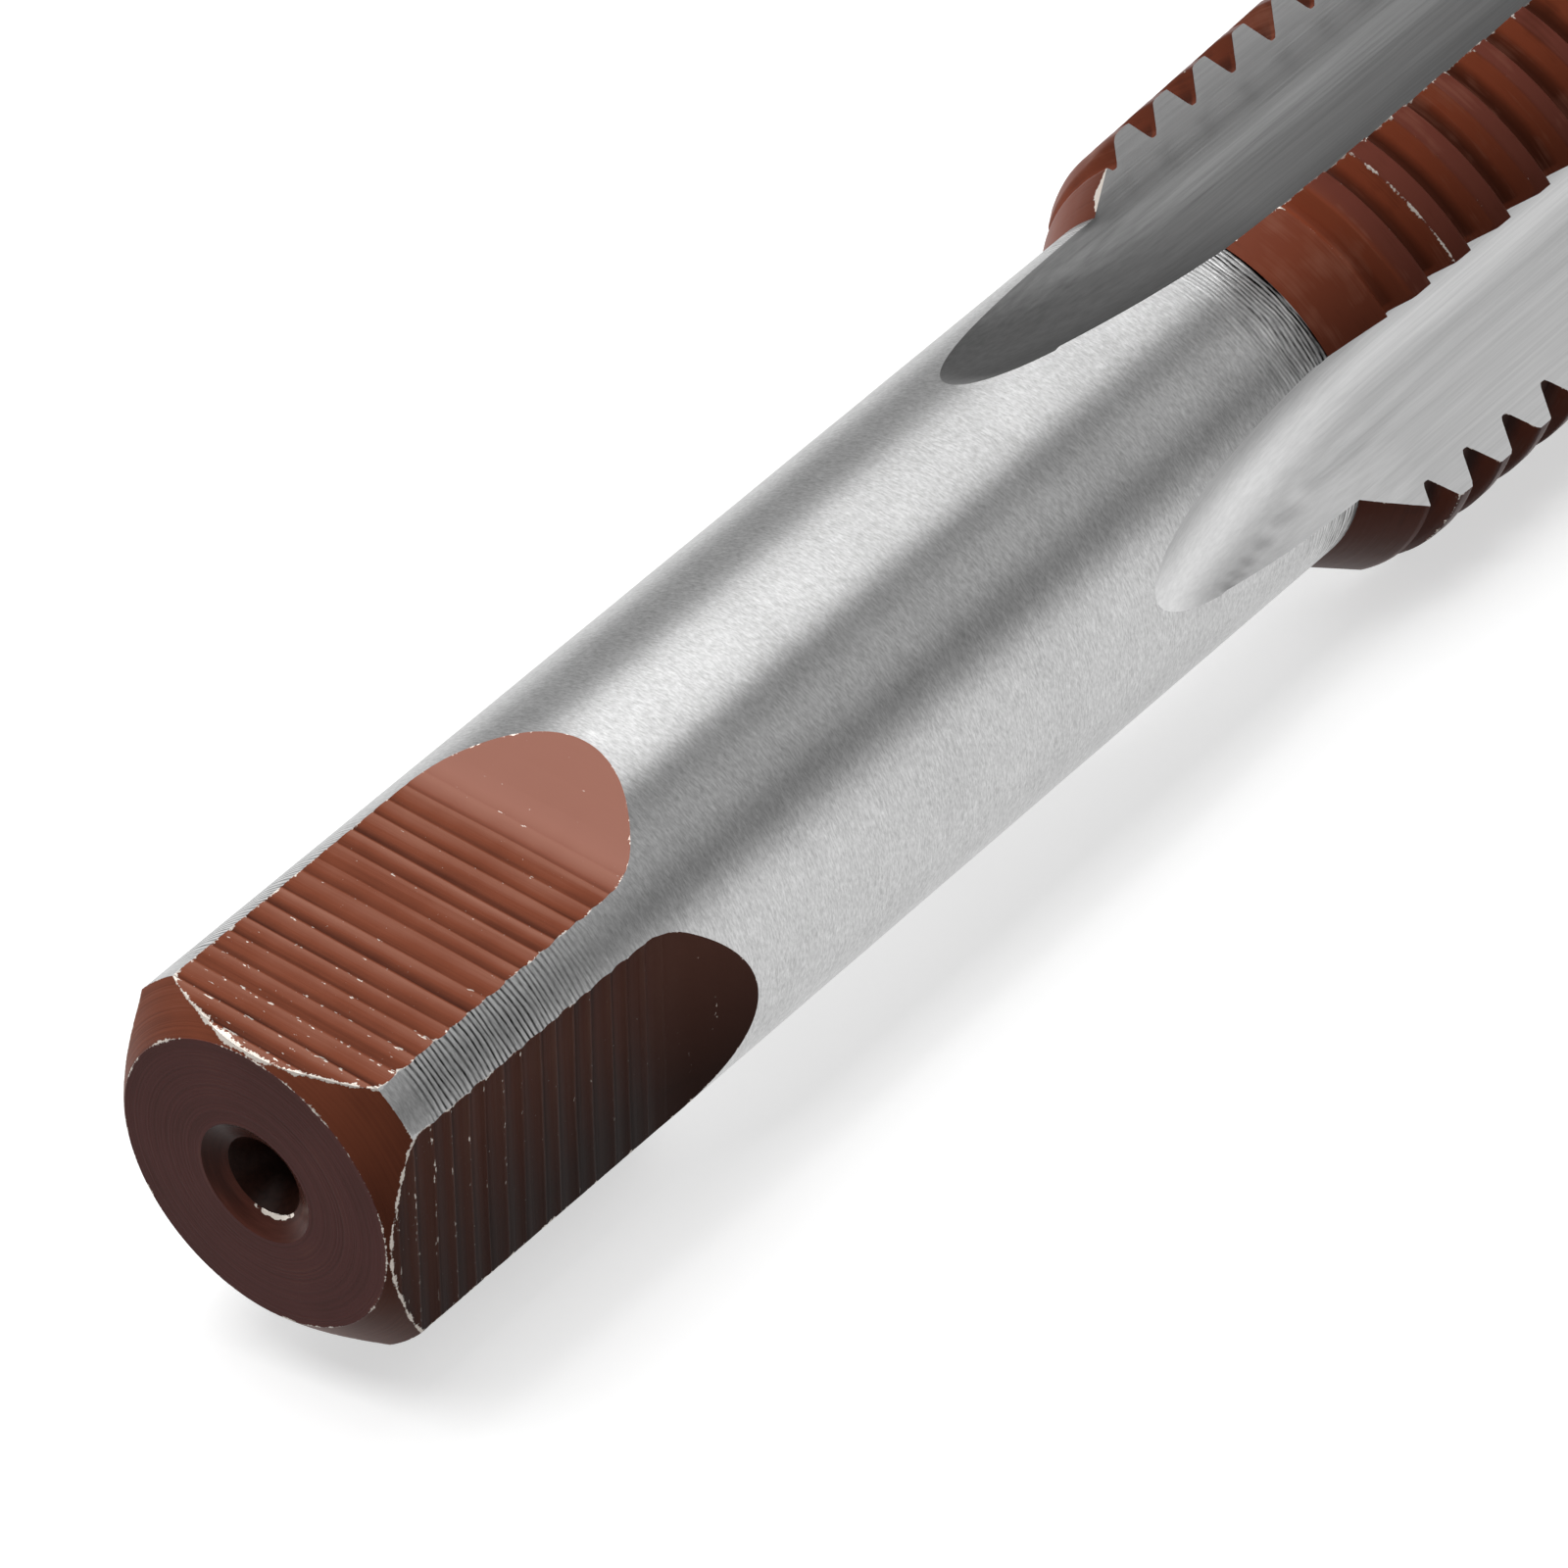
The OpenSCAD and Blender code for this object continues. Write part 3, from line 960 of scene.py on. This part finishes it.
def oxide(nodes, colour, bare, height, roughness, gloss=0.07):
    """The brown skin, with bare metal where it is worn through and where a glint is painted."""
    shader = nodes.add("ShaderNodeBsdfPrincipled", {
        "Base Color": nodes.mix(bare, colour, BARE_AND_GLINT), "Metallic": nodes.times(bare, 0.5),
        "Roughness": roughness, "Specular IOR Level": gloss, "Normal": nodes.bump(height)})
    return nodes.finish(shader.outputs[0])


def ridge_share(nodes, x, place):
    """Each point's share of the way from one ridge to the next, as in ridge_height, with a little sway."""
    bent = nodes.plus(nodes.times(x, 1 / RIDGE_SPACING), RIDGE_START)
    for amount, wave, start in RIDGE_DRIFT:
        phase = nodes.plus(nodes.times(x, math.tau * wave), start)
        bent = nodes.plus(bent, nodes.times(nodes.math("SINE", phase), amount))
    sway = nodes.noise(x, place, 0.8, 0.15, 1.0, shift=35)
    return nodes.math("FRACT", nodes.plus(bent, nodes.swing(sway, 0.2)))


def ridge_specks(nodes, x, place, share):
    """Bare specks, more of them just before each ridge and at the drive end, fewer on the lower side."""
    dashes = nodes.noise(x, place, 10, 3.0, 2.0, 0.6, shift=15)
    dots = nodes.grains(place, 0.11, shift=9.0)
    front = nodes.spread(x, 1.0, 6.0, 0.1, 0.0)
    rubbed = nodes.times(nodes.spread(share, 0.8, 0.88), nodes.spread(share, 0.96, 1.0, 1.0, 0.0))
    specks = nodes.spread(nodes.plus(dashes, front, nodes.times(rubbed, 0.12)), 0.80, 0.84)
    specks = nodes.math("MAXIMUM", specks, nodes.spread(dots, 0.76, 0.80, 0.0, 0.6))
    return nodes.times(specks, nodes.spread(place[2], 0.0, -4.0, 1.0, 0.25))


def milled_oxide():
    """The square's flats: a bright and a dark line at each ridge, partly rubbed oxide and partly painted
    shading of the scallops, finer lines between, and rubbed specks; the run-outs are painted lighter and the
    lower flats darker as painted shade.
    """
    nodes = Nodes("milled_oxide")
    place = nodes.place()
    x = place[0]
    calm = nodes.spread(x, SQUARE_LENGTH - 0.3, SQUARE_LENGTH + 1.0, 1.0, 0.1)
    share = ridge_share(nodes, x, place)
    # Partly rubbed oxide, partly painted shading of the scallops' slopes: dark just past each ridge, lighter
    # up to a painted highlight just before the next.
    rise = nodes.math("MINIMUM", nodes.spread(share, 0.0, 0.9, -0.5, 0.45),
                      nodes.spread(share, 0.9, 0.99, 0.45, -0.5))
    uneven = nodes.noise(x, place, 1.2, 0.06, 1.0, shift=12)
    lines = nodes.noise(x, place, 6.0, 0.10, 3.0, 0.65)
    clouds = nodes.noise(x, place, 0.5, 0.5, shift=60)
    marks = nodes.plus(nodes.times(rise, nodes.spread(uneven, 0.3, 0.65, 0.4, 1.0)), nodes.swing(lines, 0.45))
    # Besides the ridge marks and clouds, the level is painted lighter on the run-outs, and darker lower down
    # as painted shade.
    level = nodes.plus(0.52, nodes.times(calm, marks), nodes.swing(clouds, 0.35),
                       nodes.spread(calm, 0.1, 1.0, 0.5, 0.0), nodes.spread(place[2], 1.0, -4.5, 0.0, -0.3))
    colour = nodes.mix(nodes.spread(level, 0.0, 0.5), OXIDE_DARK_AND_SHADE, OXIDE)
    colour = nodes.mix(nodes.spread(level, 0.5, 1.0), colour, OXIDE_THIN_AND_HIGHLIGHT)
    # Painted light: the run-outs go towards a lighter colour.
    colour = nodes.mix(nodes.spread(calm, 0.1, 1.0, 0.7, 0.0), colour, RUNOUT_PAINTED_LIGHT)
    # Painted shade: the lower flats go towards near-black, more so away from the drive end.
    shade = nodes.times(nodes.spread(place[2], 1.5, -3.5, 0.0, 0.8), nodes.spread(x, 1.0, 8.0, 0.5, 1.0))
    colour = nodes.mix(shade, colour, PAINTED_SHADE_BLACK)
    bare = nodes.math("MAXIMUM", ridge_specks(nodes, x, place, share), nodes.worn(place, 1.7))
    height = nodes.plus(nodes.times(marks, calm, 0.016), nodes.times(nodes.grains(place, 0.06), 0.002))
    return oxide(nodes, colour, bare, height, 0.42, 0.045)


def turned_oxide():
    """The end faces and the chamfer: fine circles that the lathe left."""
    nodes = Nodes("turned_oxide")
    place = nodes.place()
    turned = nodes.turned(place)
    circles = nodes.noise(turned, place, 9, 0.06, 3.0, 0.6)
    clouds = nodes.noise(turned, place, 0.4, 0.4, shift=70)
    on_face = nodes.spread(place[0], 0.0, 0.02, 1.0, 0.0)
    arcs = nodes.blend(on_face, nodes.spread(place[1], 0.0, 4.0, 0.35, 1.0), 1.0)
    level = nodes.plus(0.5, nodes.swing(circles, arcs), nodes.swing(clouds, 0.5))
    colour = nodes.mix(nodes.spread(level, 0.0, 0.55), OXIDE_DARK_AND_SHADE, nodes.mix(on_face, OXIDE, OXIDE_PURPLE))
    colour = nodes.mix(nodes.spread(level, 0.6, 1.1), colour, OXIDE_THIN_AND_HIGHLIGHT)
    height = nodes.plus(nodes.times(circles, 0.012, arcs), nodes.times(nodes.grains(place, 0.06), 0.001))
    return oxide(nodes, colour, nodes.worn(place), height, 0.4)


def across_land(nodes, place):
    """From 0 at the heel of each land to 1 at its cutting edge."""
    margin = 12.0
    turn = nodes.times(nodes.math("ARCTAN2", place[2], place[1]), 1 / math.radians(QUARTER))
    turn = nodes.math("FRACT", nodes.plus(turn, 4 - (LAND_START - margin) / QUARTER))
    return nodes.spread(nodes.times(turn, QUARTER), margin, margin + LAND_WIDTH)


def thread_oxide():
    """The thread: dark in the grooves' bottoms, red-brown on the flanks and painted lighter there as fill
    light, greyer on the crests, with painted shade towards each land's cutting edge.
    """
    nodes = Nodes("thread_oxide")
    place = nodes.place()
    height_on_tooth = nodes.attribute("ridge")
    turned = nodes.turned(place)
    circles = nodes.noise(turned, place, 6, 0.15, 3.0, 0.6)
    clouds = nodes.noise(turned, place, 0.35, 0.35, 3.0, 0.6, shift=70)
    # The flanks' colour is painted lighter than the crests', as fill light from the drive end.
    colour = nodes.mix(nodes.spread(height_on_tooth, 0.0, 0.4), OXIDE_DARK_AND_SHADE, OXIDE_FLANK_PAINTED_LIGHT)
    past_cone = nodes.spread(place[0], SHOULDER_START + 2, SHOULDER_START + 3)
    crest = nodes.mix(past_cone, OXIDE_CONE, OXIDE_CREST)
    colour = nodes.mix(nodes.spread(height_on_tooth, 0.9, 0.99), colour, crest)
    # Painted shade: darker towards each land's cutting edge.
    colour = nodes.mix(nodes.spread(across_land(nodes, place), 0.25, 1.0, 0.0, 0.66), colour, OXIDE_DARK_AND_SHADE)
    level = nodes.plus(nodes.swing(circles, 0.6), nodes.swing(clouds, 1.5))
    colour = nodes.mix(nodes.spread(level, -0.1, -0.5, 0.0, 0.8), colour, OXIDE_DARK_AND_SHADE)
    colour = nodes.mix(nodes.spread(level, 0.1, 0.5, 0.0, 0.6), colour, OXIDE_THIN_AND_HIGHLIGHT)
    height = nodes.plus(nodes.times(circles, 0.006), nodes.times(clouds, 0.02))
    return oxide(nodes, colour, nodes.worn(place), height, 0.36, 0.045)


def bored_oxide():
    """The centre hole's countersink and seat: thin, glossy oxide with metal showing through, and a painted
    glint at the seat's lower rim.
    """
    nodes = Nodes("bored_oxide")
    place = nodes.place()
    turned = nodes.turned(place)
    circles = nodes.noise(turned, place, 7, 0.3, 3.0, 0.6)
    worn = nodes.worn(place)
    colour = nodes.mix(nodes.spread(circles, 0.3, 0.7), *OXIDE_BORE)
    shader = nodes.add("ShaderNodeBsdfPrincipled", {
        "Base Color": nodes.mix(worn, colour, BARE_AND_GLINT), "Metallic": worn, "Roughness": 0.25,
        "Specular IOR Level": 0.07, "Normal": nodes.bump(nodes.times(circles, 0.01))})
    return nodes.finish(shader.outputs[0])


def pilot_oxide_and_shade():
    """The inside of the centre hole: oxide painted near-black as the hole's shade, with part of the seat's
    painted glint at its rim.
    """
    nodes = Nodes("pilot_oxide_and_shade")
    place = nodes.place()
    spots = nodes.grains(place, 0.2)
    return oxide(nodes, nodes.mix(spots, *PILOT_OXIDE_AND_SHADE), nodes.worn(place), nodes.times(spots, 0.01), 0.4)


def floor_material():
    """White where it is looked at or mirrored, with the tap's shadow, and weak as a light from below."""
    nodes = Nodes("pale_floor")
    path = nodes.add("ShaderNodeLightPath")
    colour, glow = grey(FLOOR_BOUNCE), 0.0
    for ray, (cast_back, own) in FLOOR_SEEN.items():
        colour = nodes.mix(path.outputs[ray], colour, grey(cast_back))
        glow = nodes.blend(path.outputs[ray], glow, own)
    both = nodes.add("ShaderNodeAddShader")
    nodes.put(both.inputs[0], nodes.add("ShaderNodeBsdfDiffuse", {"Color": colour}).outputs[0])
    light = nodes.add("ShaderNodeEmission", {"Color": grey(1), "Strength": glow})
    nodes.put(both.inputs[1], light.outputs[0])
    return nodes.finish(both.outputs[0])


def add_floor():
    mesh = bpy.data.meshes.new("floor")
    corners = [(x * FLOOR_HALF, y * FLOOR_HALF, 0) for x, y in ((-1, -1), (1, -1), (1, 1), (-1, 1))]
    mesh.from_pydata(corners, [], [(0, 1, 2, 3)])
    floor = bpy.data.objects.new("floor", mesh)
    bpy.context.scene.collection.objects.link(floor)
    floor.data.materials.append(floor_material())


def add_camera():
    """A long lens that looks along the tap from its drive end, aside and from above."""
    data = bpy.data.cameras.new("camera")
    data.lens = LENS
    data.sensor_width = 36
    data.clip_start = 0.01
    data.clip_end = 20
    camera = bpy.data.objects.new("camera", data)
    turn = Matrix((Vector(CAMERA_RIGHT), -Vector(CAMERA_DOWN), -Vector(CAMERA_FORWARD))).transposed()
    camera.matrix_world = Matrix.Translation(Vector(CAMERA_PLACE) * MM) @ turn.to_4x4()
    bpy.context.scene.collection.objects.link(camera)
    bpy.context.scene.camera = camera


def add_lamp(name, place, size, brightness, mirrored):
    """A soft box that looks straight down. Its power follows from the brightness that it is to have."""
    data = bpy.data.lights.new(name, "AREA")
    data.shape = "RECTANGLE"
    data.size, data.size_y = size
    data.energy = brightness * math.pi * size[0] * size[1]
    lamp = bpy.data.objects.new(name, data)
    lamp.location = place
    lamp.visible_camera = False
    lamp.visible_glossy = mirrored
    bpy.context.scene.collection.objects.link(lamp)


def add_world():
    """White to the camera, grey to what is mirrored, darker as a light: a room with curtains round a tent."""
    world = bpy.data.worlds.new("studio")
    nodes = Nodes("", world)
    path = nodes.add("ShaderNodeLightPath")
    way = nodes.add("ShaderNodeSeparateXYZ", {0: nodes.add("ShaderNodeTexCoord").outputs["Generated"]})
    front = nodes.spread(way.outputs["Z"], 0.0, 0.25, ROOM_FOOT, ROOM_FRONT)
    panel = nodes.times(nodes.spread(way.outputs["X"], *PANEL_X), nodes.spread(way.outputs["Z"], *PANEL_Z),
                        nodes.spread(way.outputs["Y"], *PANEL_Y, 1.0, 0.0))
    front = nodes.blend(panel, front, ROOM_PANEL)
    back = nodes.spread(way.outputs["X"], *PANEL_X, ROOM_BACK, ROOM_CURTAIN)
    room = nodes.blend(nodes.spread(way.outputs["Y"], 0.0, 0.5), front, back)
    seen = nodes.blend(path.outputs["Is Glossy Ray"], ROOM_LIGHT, room)
    strength = nodes.blend(path.outputs["Is Camera Ray"], seen, 1.0)
    wall = nodes.add("ShaderNodeBackground", {"Color": grey(1), "Strength": strength})
    out = nodes.add("ShaderNodeOutputWorld")
    nodes.put(out.inputs[0], wall.outputs[0])
    bpy.context.scene.world = world


def add_tap():
    rows = drive_end_rows() + square_rows() + shank_rows() + [fluted_row(x) for x in thread_places()]
    mesh = build_mesh(rows + tip_rows(rows[-1]))
    piece = bpy.data.objects.new("tap_body", mesh)
    bpy.context.scene.collection.objects.link(piece)
    for material in (ground_steel, fluted_steel, milled_oxide, thread_oxide, turned_oxide, bored_oxide,
                     pilot_oxide_and_shade):
        mesh.materials.append(material())
    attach(piece, "root")
    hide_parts("tap")
    print("tap_body triangles", sum(len(face.vertices) - 2 for face in mesh.polygons))


FLUTE = Flute()
bpy.context.scene.view_settings.view_transform = "Standard"
add_camera()
add_world()
add_floor()
for lamp in LAMPS:
    add_lamp(*lamp)
add_tap()
